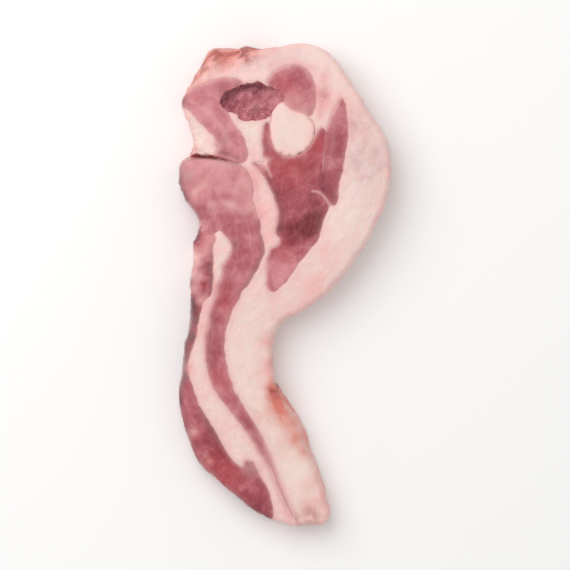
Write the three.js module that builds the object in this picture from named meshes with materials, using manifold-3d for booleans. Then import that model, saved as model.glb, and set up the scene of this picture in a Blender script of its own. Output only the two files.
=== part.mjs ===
// A raw lamb chop with its tail: one slice through the hind loin of a lamb, lying on a cut face.
// The slice is cut through everything it crosses, so each muscle, bone and layer of fat is a piece that
// runs from the lower cut face to the upper one, with a hairline between it and its neighbours.
// Millimetres, +Z up. The tail points along -Y and the thick cap of fat is on the +X side.
import * as THREE from "three";
import { mergeVertices } from "three/addons/utils/BufferGeometryUtils.js";
import Module from "manifold-3d";

const wasm = await Module();
wasm.setup();

// Driving dimensions.
const CHOP_LENGTH = 200; // top of the fat cap to the tip of the tail
const BODY_THICKNESS = 20; // cut by the saw through the bone
const TAIL_THICKNESS = 13.5; // the flank slumps where no bone holds it up
const TAIL_START = 25; // Y where the thickness begins to fall
const TAIL_END = -75; // Y where it has fallen to the tail's
const HAIRLINE = 0.32; // between neighbouring tissues
const EDGE_ROUND = 2.2; // how far the cut edges are rounded
const OUTLINE_STEP = 3.2; // length of the straight bits that outlines are made of
const RELIEF_STEP = 4.2; // mesh width of the upper cut face
const RELIEF = 0.4; // height of its slow waves
const FLAT_HEIGHT = 20; // height of the slice before it is shaped
const DOME_WIDTH = 5; // from a muscle's edge to its full swell

// Outlines are drawn on a grid of 416 steps along the chop, about 0.48 mm each, with +X and +Y as above.
const GRID = CHOP_LENGTH / 416;

// The upper cut face, clockwise from the left tip of the chine strip.
const FACE = [
  [-89, 158], [-77, 173], [-54, 183], [-24, 201], [-10, 204], [12, 208.5], [30, 205], [45, 192], [72, 150],
  [85, 130], [91, 110], [84, 65], [43, 1], [11, -24], [-2, -30], [-9, -40], [-10, -81], [11, -129],
  [33, -184], [38, -200], [34, -206.5], [21, -207], [8, -208], [-6, -204], [-20, -199], [-76, -150],
  [-82, -133], [-89, -115], [-91, -95], [-88, -73], [-86, -51], [-81, -33], [-81, 4], [-78, 19], [-79, 35],
  [-74, 46], [-73, 55], [-88, 79], [-91, 94], [-89, 106], [-81, 112], [-77, 118], [-80, 133],
];

// The open cleft between the chine strip and the fillet, a wedge that narrows to the right and downwards.
const CLEFT = { left: -94, right: -36, bend: -74, rise: 110.3, fall: 7, halfWidth: 2.3 };
const CLEFT_FLOOR = 10; // the two muscles still meet below this height
const CLEFT_FLOOR_WIDTH = 0.12; // of its width at the top

// Each tissue takes what lies in its outline and isn't taken yet, so outlines may run over earlier ones.
// lift is how far its upper face swells above the slice, or sinks below it.
const TISSUES = [
  {
    name: "bone_round", colour: 0xeed7ce, roughness: 0.5, lift: 0.3,
    outline: [
      [-3, 157.5], [4, 153], [21, 144], [26, 135], [24.5, 125], [10, 111.5], [-8, 116], [-12, 145],
    ],
  },
  {
    name: "bone_spongy", colour: 0x9d565b, roughness: 0.55, lift: -1.3,
    outline: [
      [-56, 157], [-52, 165], [-24, 175], [-15, 171.5], [-4, 168], [-1, 160], [-7, 151], [-14, 144],
      [-37, 142], [-41.5, 148], [-50, 149.5],
    ],
  },
  {
    name: "lean_top", colour: 0xbf7478, roughness: 0.4, lift: 0.3,
    outline: [
      [-16, 173], [-10, 183], [10, 190.5], [23.5, 179], [27, 159], [21, 145], [11, 149], [2, 154],
      [-8, 166],
    ],
  },
  {
    name: "lean_chine_strip", colour: 0xd19193, roughness: 0.4, lift: 0.5,
    outline: [
      [-37, 175], [-48, 176.5], [-82, 167.5], [-95, 154], [-85, 151], [-69, 135], [-57, 121], [-61, 110],
      [-48, 107.5], [-38, 104.5], [-32.5, 108], [-35, 125], [-45, 142], [-57, 155], [-55, 163], [-48, 168],
      [-38, 171],
    ],
  },
  {
    name: "lean_cap", colour: 0xb16b6f, roughness: 0.4, lift: 0.2,
    outline: [
      [49, 160], [54.5, 141], [47.5, 87], [42.5, 68], [33, 77], [27, 82], [27, 90], [31, 99], [36, 135],
    ],
  },
  {
    name: "lean_eye", colour: 0xaa5b62, roughness: 0.4, lift: -0.9,
    outline: [
      [-15, 140], [-19.5, 132], [-18.5, 112], [-17, 107], [-22, 105], [-28, 105.5], [-17, 92], [-6.5, 62],
      [-8, 46], [-5, 40], [-7, 34], [-13.5, 29], [-14, -3], [-10, -6.5], [21, 29.5], [29, 39], [34.5, 59],
      [42, 75], [40, 97], [40, 127], [31, 135.5], [22, 122], [6, 119], [-8, 127],
    ],
  },
  {
    name: "lean_fillet", colour: 0xd19296, roughness: 0.4, lift: 1.2,
    outline: [
      [-85, 109], [-38, 103.5], [-29, 91], [-26.5, 69], [-24, 58], [-44, 62], [-55, 62], [-64, 58],
      [-70, 52], [-80, 53], [-93, 67], [-96, 103],
    ],
  },
  {
    name: "lean_flank_inner", colour: 0xb6686e, roughness: 0.4, lift: -0.2,
    outline: [
      [-72, 46], [-70, 53], [-55, 63], [-33, 59.5], [-23.5, 58], [-20.5, 47], [-18, 27], [-29, 4],
      [-36, -5], [-51, -41], [-50, -71], [-41, -96], [-18, -135], [3, -187], [10, -200], [7, -203],
      [-17.5, -154], [-35, -125], [-63, -86], [-68.5, -60], [-66, -30], [-55.5, 5], [-53.5, 16], [-46, 32],
      [-56, 46], [-61, 44], [-66, 46],
    ],
  },
  {
    name: "lean_flank_outer", colour: 0xaa565e, roughness: 0.4, lift: -0.8,
    outline: [
      [-73, 52], [-61, 43], [-61, 30], [-62, -10], [-67.5, -15], [-75.5, -46], [-81, -69], [-77, -91],
      [-74, -104], [-60, -127], [-45, -152], [-38, -157], [-33, -152], [-27, -154], [-23, -163],
      [-13, -181], [-11, -205], [-16, -214], [-84, -168], [-102, -123], [-92, -23], [-90, 12], [-88, 48],
    ],
  },
  {
    name: "fat_flank", colour: 0xf0cfc9, roughness: 0.45, lift: 0.2,
    outline: [
      [-61, 46], [-54, 49], [-44, 39], [-59, -19], [-63, -58], [-60, -79], [-52, -96], [-30, -125],
      [-13, -156], [-7, -172], [9, -202], [13, -213], [-10, -213], [-16, -193], [-34, -165], [-54, -148],
      [-74, -118], [-86, -83], [-82, -53], [-76, -23], [-66, -3], [-66, 27],
    ],
  },
  {
    name: "fat_notch", colour: 0xeacdc5, roughness: 0.45, lift: -0.6,
    outline: [
      [-92, 153], [-82, 155], [-63, 134], [-55, 124], [-54, 115], [-60, 108], [-74, 108], [-86, 108],
      [-88, 122],
    ],
  },
];

// What is left is the fat: the cap round the outside, the seams between the muscles and the tail's band.
const FAT = { name: "fat_cap", colour: 0xecd2c8, roughness: 0.45, lift: 0 };

// Where the outer wall slopes out towards the lower face: middle, reach and how far, on the outline grid.
const FLARES = [
  { x: -55, y: 183, reach: 23, dx: -4, dy: 23 },
  { x: 4, y: -118, reach: 30, dx: 7, dy: 2 },
  { x: 22, y: -158, reach: 30, dx: 5, dy: 1 },
];

// A closed smooth curve through grid points, as evenly spaced points in millimetres.
function smoothOutline(gridPoints) {
  const corners = gridPoints.map(([x, y]) => new THREE.Vector3(x * GRID, y * GRID, 0));
  const curve = new THREE.CatmullRomCurve3(corners, true, "centripetal");
  const count = Math.round(curve.getLength() / OUTLINE_STEP);
  return curve.getSpacedPoints(count).slice(0, count).map((p) => new THREE.Vector2(p.x, p.y));
}

// The same outline moved outwards by a small distance, whichever way round it runs.
function grown(points, distance) {
  const side = THREE.ShapeUtils.isClockWise(points) ? -1 : 1;
  return points.map((p, i) => {
    const before = points.at(i - 1);
    const after = points[(i + 1) % points.length];
    const along = after.clone().sub(before).normalize();
    return new THREE.Vector2(p.x + side * along.y * distance, p.y - side * along.x * distance);
  });
}

// A three.js geometry whose triangles close, as a solid that can be cut.
function solidOf(geometry) {
  const bare = geometry.clone();
  bare.deleteAttribute("normal");
  bare.deleteAttribute("uv");
  const welded = mergeVertices(bare, 1e-4);
  return new wasm.Manifold(
    new wasm.Mesh({
      numProp: 3,
      vertProperties: new Float32Array(welded.attributes.position.array),
      triVerts: new Uint32Array(welded.index.array),
    }),
  );
}

// A straight prism over an outline that reaches past both faces of the slice.
function prism(points) {
  const geometry = new THREE.ExtrudeGeometry(new THREE.Shape(points), {
    depth: FLAT_HEIGHT + 2,
    bevelEnabled: false,
  });
  return solidOf(geometry.translate(0, 0, -1));
}

// The cleft's middle line and half width over an X of the outline grid.
function cleftMiddle(x) {
  const bent = THREE.MathUtils.clamp((x - CLEFT.bend) / (CLEFT.right - CLEFT.bend), 0, 1);
  return CLEFT.rise - CLEFT.fall * bent * bent;
}

function cleftHalfWidth(x) {
  return CLEFT.halfWidth * Math.sqrt((CLEFT.right - x) / (CLEFT.right - CLEFT.left));
}

function cleftWedge() {
  const stations = 12;
  const upper = [];
  const lower = [];
  for (let i = 0; i <= stations; i++) {
    const x = THREE.MathUtils.lerp(CLEFT.left, CLEFT.right, i / stations);
    upper.push(new THREE.Vector2(x, cleftMiddle(x) + cleftHalfWidth(x)));
    if (i < stations) lower.unshift(new THREE.Vector2(x, cleftMiddle(x) - cleftHalfWidth(x)));
  }
  const geometry = new THREE.ExtrudeGeometry(new THREE.Shape([...upper, ...lower]), {
    depth: FLAT_HEIGHT + 1 - CLEFT_FLOOR,
    bevelEnabled: false,
  });
  const position = geometry.attributes.position;
  for (let i = 0; i < position.count; i++) {
    const isFloor = position.getZ(i) === 0;
    const middle = cleftMiddle(position.getX(i));
    const width = isFloor ? CLEFT_FLOOR_WIDTH : 1;
    position.setY(i, middle + (position.getY(i) - middle) * width);
  }
  return solidOf(geometry.scale(GRID, GRID, 1).translate(0, 0, CLEFT_FLOOR));
}

// The whole slice with rounded edges, before it is waved and thinned.
function roundedSlice() {
  const geometry = new THREE.ExtrudeGeometry(new THREE.Shape(smoothOutline(FACE)), {
    depth: FLAT_HEIGHT - 2 * EDGE_ROUND,
    steps: 2,
    bevelEnabled: true,
    bevelThickness: EDGE_ROUND,
    bevelSize: EDGE_ROUND,
    bevelOffset: -EDGE_ROUND,
    bevelSegments: 3,
  });
  return solidOf(geometry.translate(0, 0, EDGE_ROUND));
}

// The slow waves that the knife and the loose flesh leave on the upper cut face.
function wave(x, y) {
  return RELIEF * (Math.sin(x / 11 + y / 31) * Math.cos(y / 17) + 0.6 * Math.sin(y / 9 - x / 23));
}

// A block whose top is the waved upper face.
function wavedBlock() {
  const width = 250 * GRID;
  const length = 450 * GRID;
  const height = FLAT_HEIGHT + 1;
  const columns = Math.round(width / RELIEF_STEP);
  const rows = Math.round(length / RELIEF_STEP);
  const geometry = new THREE.BoxGeometry(width, length, height, columns, rows, 1);
  geometry.translate(0, 0, height / 2 - 1);
  const position = geometry.attributes.position;
  for (let i = 0; i < position.count; i++) {
    if (position.getZ(i) < FLAT_HEIGHT / 2) continue;
    const drop = 1.6 * RELIEF;
    position.setZ(i, FLAT_HEIGHT - drop + wave(position.getX(i), position.getY(i)));
  }
  return solidOf(geometry);
}

// How far a point is inside an outline.
function depthInside(points, x, y) {
  let nearest = Infinity;
  const closest = new THREE.Vector3();
  const here = new THREE.Vector3(x, y, 0);
  points.forEach((p, i) => {
    const q = points[(i + 1) % points.length];
    const side = new THREE.Line3(new THREE.Vector3(p.x, p.y, 0), new THREE.Vector3(q.x, q.y, 0));
    side.closestPointToPoint(here, true, closest);
    nearest = Math.min(nearest, closest.distanceTo(here));
  });
  return nearest;
}

// Gives a flat piece its true form: thinner towards the tail, domed or sunk on top, flared at the foot.
function shape(position, outline, lift) {
  for (let i = 0; i < position.count; i++) {
    let x = position.getX(i);
    let y = position.getY(i);
    const share = position.getZ(i) / FLAT_HEIGHT;
    const slump = 1 - THREE.MathUtils.smoothstep(y, TAIL_END, TAIL_START);
    const thickness = THREE.MathUtils.lerp(BODY_THICKNESS, TAIL_THICKNESS, slump);
    const swell = lift && 1 - Math.exp(-depthInside(outline, x, y) / DOME_WIDTH);
    const z = share * (thickness + lift * swell);
    for (const flare of FLARES) {
      const away = Math.hypot(x - flare.x * GRID, y - flare.y * GRID) / (flare.reach * GRID);
      const push = Math.exp(-away * away) * (1 - share) * GRID;
      x += flare.dx * push;
      y += flare.dy * push;
    }
    position.setXYZ(i, x, y, z);
  }
}

// The largest body of a cut, so that no loose scrap is kept.
function withoutScraps(solid) {
  return solid.decompose().reduce((a, b) => (a.volume() > b.volume() ? a : b));
}

function meshOf(solid, { name, colour, roughness, lift }, outline) {
  const { numProp, numVert, vertProperties, triVerts } = solid.getMesh();
  const corners = new Float32Array(numVert * 3);
  for (let i = 0; i < numVert; i++) {
    corners.set(vertProperties.subarray(i * numProp, i * numProp + 3), i * 3);
  }
  const geometry = new THREE.BufferGeometry();
  geometry.setAttribute("position", new THREE.BufferAttribute(corners, 3));
  geometry.setIndex(new THREE.BufferAttribute(triVerts, 1));
  shape(geometry.attributes.position, outline, lift);
  geometry.computeVertexNormals();
  const material = new THREE.MeshStandardMaterial({ color: colour, roughness, metalness: 0 });
  const mesh = new THREE.Mesh(geometry, material);
  mesh.name = name;
  return mesh;
}

const chop = new THREE.Group();
let flesh = roundedSlice().intersect(wavedBlock()).subtract(cleftWedge());
for (const tissue of TISSUES) {
  const outline = smoothOutline(tissue.outline);
  const piece = withoutScraps(flesh.intersect(prism(outline)));
  flesh = flesh.subtract(prism(grown(outline, HAIRLINE)));
  chop.add(meshOf(piece, tissue, outline));
}
chop.add(meshOf(withoutScraps(flesh), FAT, []));

// The origin is the middle of the chop's box, on the surface it lies on.
const box = new THREE.Box3().setFromObject(chop);
const middle = box.getCenter(new THREE.Vector3());
chop.position.set(-middle.x, -middle.y, -box.min.z);

export default chop;
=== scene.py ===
import math

import bpy
import numpy as np
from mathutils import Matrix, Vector, noise
from mathutils.geometry import delaunay_2d_cdt
from mathutils.kdtree import KDTree


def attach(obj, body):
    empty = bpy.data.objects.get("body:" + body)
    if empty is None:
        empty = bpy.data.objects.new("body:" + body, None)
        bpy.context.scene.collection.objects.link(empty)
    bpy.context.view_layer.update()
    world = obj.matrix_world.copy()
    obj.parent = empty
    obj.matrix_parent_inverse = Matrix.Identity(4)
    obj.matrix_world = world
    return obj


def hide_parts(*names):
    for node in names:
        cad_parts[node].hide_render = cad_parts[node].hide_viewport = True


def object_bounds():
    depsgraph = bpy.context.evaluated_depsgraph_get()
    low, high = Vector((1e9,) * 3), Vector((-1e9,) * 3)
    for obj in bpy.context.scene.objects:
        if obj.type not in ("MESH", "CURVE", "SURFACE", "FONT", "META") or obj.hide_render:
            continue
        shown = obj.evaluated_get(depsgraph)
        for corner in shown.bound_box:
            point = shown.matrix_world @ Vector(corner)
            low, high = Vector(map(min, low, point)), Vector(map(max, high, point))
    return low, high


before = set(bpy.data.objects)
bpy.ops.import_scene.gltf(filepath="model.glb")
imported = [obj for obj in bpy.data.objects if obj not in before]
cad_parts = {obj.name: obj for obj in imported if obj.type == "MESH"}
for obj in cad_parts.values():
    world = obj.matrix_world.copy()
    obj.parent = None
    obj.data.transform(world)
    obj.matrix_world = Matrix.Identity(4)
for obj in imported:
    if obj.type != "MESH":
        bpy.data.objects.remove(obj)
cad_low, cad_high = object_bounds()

# The whole slice, as the saw and the knife leave it: 20 mm thick at the bone, slumping to 13.5 mm in the
# tail, its cut edges rounded and its outer wall sloping out in places. Each tissue below is cut from it.
# Lengths are millimetres until a mesh is made. Outlines lie on a grid of 416.5 steps along the chop.
MM = 0.001
GRID_STEPS = 416.5
GRID = (cad_high.y - cad_low.y) / MM / GRID_STEPS
FLAT_HEIGHT = 20.0  # of the slice before it is thinned and swollen
TAIL_THICKNESS = 13.5
THIN_BELOW, THICK_ABOVE = -75, 25  # where along the chop it has thinned, and where it is at its full height
EDGE_ROUND = 2.2
EDGE_RINGS = 5  # rings of points that carry the rounded edge
STEP = 0.5  # mesh width, about a pixel of the render
CLOSEST = 0.09  # how near to a line a point of a ring may lie
WELD = 1e-6  # points nearer to each other than this are one
LUMP, LUMP_DEPTH = 4, 0.5  # the wander of an edge of flesh or fat, and the smaller one on it
NICK, NICK_DEPTH = 1.3, 0.2
CALM_STEPS = 5  # mesh steps on both sides that smooth the rim's wander away
FACE = [
    (-89, 158), (-77, 173), (-54, 183), (-24, 201), (-10, 204), (12, 208.5), (30, 205), (45, 192),
    (72, 150), (85, 130), (91, 110), (84, 65), (43, 1), (11, -24), (-2, -30), (-9, -40), (-10, -81),
    (11, -129), (33, -184), (38, -200), (34, -206.5), (21, -207), (8, -208), (-6, -204), (-20, -199),
    (-76, -150), (-82, -133), (-89, -115), (-91, -95), (-88, -73), (-86, -51), (-81, -33), (-81, 4),
    (-78, 19), (-79, 35), (-74, 46), (-73, 55), (-88, 79), (-91, 94), (-89, 106), (-81, 112),
    (-77, 118), (-80, 133),
]
FLARES = [  # where the outer wall slopes out towards its foot: middle, reach, and how far
    (-55, 183, 23, -4, 23),
    (-64, 180, 12, -1, 5),
    (-32, 197, 13, 0, 6),
    (4, -118, 30, 7, 2),
    (22, -158, 30, 5, 1),
]
noise.seed_set(4)  # so that the edges wander the same way each time


def smooth_line(grid_points, closed=True):
    """A smooth curve through points of the grid, as points one mesh step apart."""
    corners = np.array(grid_points, float) * GRID
    count = len(corners)
    fineness = 24  # points worked out between two corners
    t = np.linspace(0, 1, fineness, endpoint=False)[:, None]
    dense = []
    for i in range(count if closed else count - 1):
        places = (i - 1, i, i + 1, i + 2)
        around = [k % count if closed else min(max(k, 0), count - 1) for k in places]
        before, start, end, after = corners[around]
        gaps = [math.sqrt(math.dist(a, b)) for a, b in ((before, start), (start, end), (end, after))]
        lead, gap, trail = [g or gaps[1] for g in gaps]
        leave = (start - before) / lead - (end - before) / (lead + gap) + (end - start) / gap
        arrive = (end - start) / gap - (after - start) / (gap + trail) + (after - end) / trail
        dense.append(
            (2 * t**3 - 3 * t**2 + 1) * start
            + (t**3 - 2 * t**2 + t) * leave * gap
            + (3 * t**2 - 2 * t**3) * end
            + (t**3 - t**2) * arrive * gap
        )
    dense = np.concatenate(dense)
    dense = np.vstack([dense, dense[:1] if closed else corners[-1:]])
    run = np.concatenate([[0], np.cumsum(np.hypot(*np.diff(dense, axis=0).T))])
    at = np.linspace(0, run[-1], round(run[-1] / STEP), endpoint=not closed)
    return np.column_stack([np.interp(at, run, dense[:, k]) for k in (0, 1)])


def ragged(line):
    """The same line with the small wander of an edge of flesh or fat."""
    wander = [
        noise.noise_vector(Vector((x / LUMP, y / LUMP, 0))) * LUMP_DEPTH
        + noise.noise_vector(Vector((x / NICK, y / NICK, 5))) * NICK_DEPTH
        for x, y in line
    ]
    return line + np.array(wander)[:, :2]


def bits(line):
    """The straight bits of a closed line, as their starts and ends."""
    return line, np.roll(line, -1, axis=0)


def distance(points, starts, ends):
    """From each point to the nearest of some straight bits."""
    nearest = np.full(len(points), np.inf)
    for a, b in zip(starts, ends):
        along = b - a
        share = np.clip((points - a) @ along / max(along @ along, 1e-12), 0, 1)
        nearest = np.minimum(nearest, np.hypot(*(points - a - share[:, None] * along).T))
    return nearest


def inside(points, outline):
    """Which points lie inside a closed outline."""
    found = np.all((points > outline.min(0)) & (points < outline.max(0)), axis=1)
    x, y = points[found].T
    odd = np.zeros(len(x), bool)
    for (x0, y0), (x1, y1) in zip(*bits(outline)):
        if y0 != y1:
            odd ^= ((y0 > y) != (y1 > y)) & (x < x0 + (x1 - x0) * (y - y0) / (y1 - y0))
    found[found] = odd
    return found


def tree_of(points):
    """Flat points, ready for finding the nearest."""
    tree = KDTree(len(points))
    for i, (x, y) in enumerate(points):
        tree.insert((x, y, 0), i)
    tree.balance()
    return tree


def reach(points, tree):
    """From each point to the nearest of those in a tree."""
    return np.array([tree.find((x, y, 0))[2] for x, y in points])


def fractal(points, size, seed=0.0):
    """Noise of about -1 to 1 whose largest lumps are about size across, at flat or solid points."""
    lifted = points if points.shape[1] == 3 else np.column_stack([points, np.zeros(len(points))])
    shift = Vector((seed, 0, 0))
    falloff, finer, layers = 1.0, 2.0, 3
    return np.array([noise.fractal(Vector(p) / size + shift, falloff, finer, layers) for p in lifted])


def ease(values, low, high):
    """0 below low, 1 above high, and smooth in between."""
    t = np.clip((values - low) / (high - low), 0, 1)
    return t * t * (3 - 2 * t)


rim = ragged(smooth_line(FACE))
rim_tree = tree_of(rim)
rim_inward = (np.roll(rim, -1, axis=0) - np.roll(rim, 1, axis=0))[:, ::-1] * (1, -1)
rim_inward /= np.hypot(*rim_inward.T)[:, None]
rim_middle = (rim.min(0) + rim.max(0)) / 2
near_steps = range(-CALM_STEPS, CALM_STEPS + 1)
calm_rim = sum(np.roll(rim, k, axis=0) for k in near_steps) / len(near_steps)
cad_middle = np.array([cad_low.x + cad_high.x, cad_low.y + cad_high.y]) / 2 / MM
taken = []  # the outlines of the tissues cut so far


def cut_face(outline):
    """The part of the cut face in an outline that isn't taken yet, as flat points and triangles."""

    def free(points):
        found = inside(points, outline) & inside(points, rim)
        for other in taken:
            found &= ~inside(points, other)
        return found

    low, high = outline.min(0), outline.max(0)
    lines = [rim] + [line for line in taken if np.all(line.min(0) < high) and np.all(line.max(0) > low)]
    if outline is not rim:
        lines.append(outline)
    x, y = np.meshgrid(
        np.arange(low[0], high[0], STEP), np.arange(low[1], high[1], STEP * math.sqrt(3) / 2)
    )
    x[::2] += STEP / 2
    lattice = np.column_stack([x.ravel(), y.ravel()])
    lattice = lattice[free(lattice)]
    lattice = lattice[reach(lattice, rim_tree) > EDGE_ROUND + 0.3 * STEP]
    lines_tree = tree_of(np.concatenate(lines))
    kept = [lattice[reach(lattice, lines_tree) > 0.7 * STEP]]
    for k in range(1, EDGE_RINGS + 1):
        depth = EDGE_ROUND * (1 - math.cos(k * math.pi / (2 * EDGE_RINGS)))
        ring = rim + rim_inward * depth
        ring = ring[reach(ring, rim_tree) > 0.93 * depth]  # without what a hollow of the rim folds over
        ring = ring[free(ring)]
        if len(ring):
            kept.append(ring[reach(ring, lines_tree) > CLOSEST])
    points, edges = [Vector(p) for p in np.concatenate(kept)], []
    for line in lines:
        first = len(points)
        points += [Vector(p) for p in line]
        edges += [(first + i, first + (i + 1) % len(line)) for i in range(len(line))]
    flat, _, faces, *_ = delaunay_2d_cdt(points, edges, [], 0, WELD)
    flat, faces = np.array(flat), np.array(faces)
    faces = faces[free(flat[faces].mean(axis=1))]
    used, faces = np.unique(faces, return_inverse=True)
    return flat[used], faces.reshape(-1, 3)


def thickness(y):
    """How thick the slice is at a height up its length."""
    return TAIL_THICKNESS + (FLAT_HEIGHT - TAIL_THICKNESS) * ease(y, THIN_BELOW, THICK_ABOVE)


def wave(x, y):
    """The slow waves that the knife and the loose flesh leave on the upper face, all below its level."""
    height, deepest = 0.4, 0.64
    return height * (np.sin(x / 11 + y / 31) * np.cos(y / 17) + 0.6 * np.sin(y / 9 - x / 23)) - deepest


CLEFT_DEPTH = 2.8
CLEFT_HALF_WIDTH, CLEFT_NARROWEST = 1.1, 0.05
CLEFT_MOUTH, CLEFT_BEND, CLEFT_END = -94, -74, -36  # on the grid, from the left
CLEFT_HEIGHT, CLEFT_DROP = 110.3, 7  # how high it lies on the grid, and how far it sinks past its bend
CLEFT_RUN_OUT = 26  # how far from its end it reaches its full depth


def cleft(x, y):
    """The open cleft between the chine strip and the fillet, which narrows to the right."""
    bent = np.clip((x / GRID - CLEFT_BEND) / (CLEFT_END - CLEFT_BEND), 0, 1)
    off_middle = np.abs(y - (CLEFT_HEIGHT - CLEFT_DROP * bent**2) * GRID)
    to_end = CLEFT_END - x / GRID
    opening = np.sqrt(np.clip(to_end / (CLEFT_END - CLEFT_MOUTH), 0, 1))
    half_width = CLEFT_HALF_WIDTH * opening + CLEFT_NARROWEST
    across = 1 - ease(off_middle, 0.1 * half_width, 1.3 * half_width)
    return CLEFT_DEPTH * across * ease(to_end, 0, CLEFT_RUN_OUT)


SLUMP, SLUMP_REACH = 0.8, 6  # how far the upper face sinks at the rim, and from how far in
SEAM_DEPTH, LOWER_SEAM_DEPTH, SEAM_REACH = 0.28, 0.2, 0.45
WALL_RINGS = 18
WALL_BULGE, WALL_DENT, WALL_DENT_SIZE = 0.45, 0.6, 6
ON_RIM, ON_JOIN = 1e-3, 0.05  # how near a piece's border lies to the rim or to a tissue that it passes into
JOIN_SWELL, JOIN_BUMPS = 9, 3  # how far from such a join the swell and the bumps fade
SEAM_BUMPS = 0.8  # and how far from a seam
DRIFT, DRIFT_SIZE, DRIFT_REACH, DRIFT_END = 2.2, 13, 2.5, 6  # how the borders wander beside the wall
DRIFT_FULL, DRIFT_START = 0.35, 0.97  # at which share of the height
COLOUR_DRIFT, COLOUR_DRIFT_SIZE = 4.0, 7
SHARP_ANGLE = 55  # degrees; where the mesh bends by more, as at a cut border, it isn't smoothed


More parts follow.
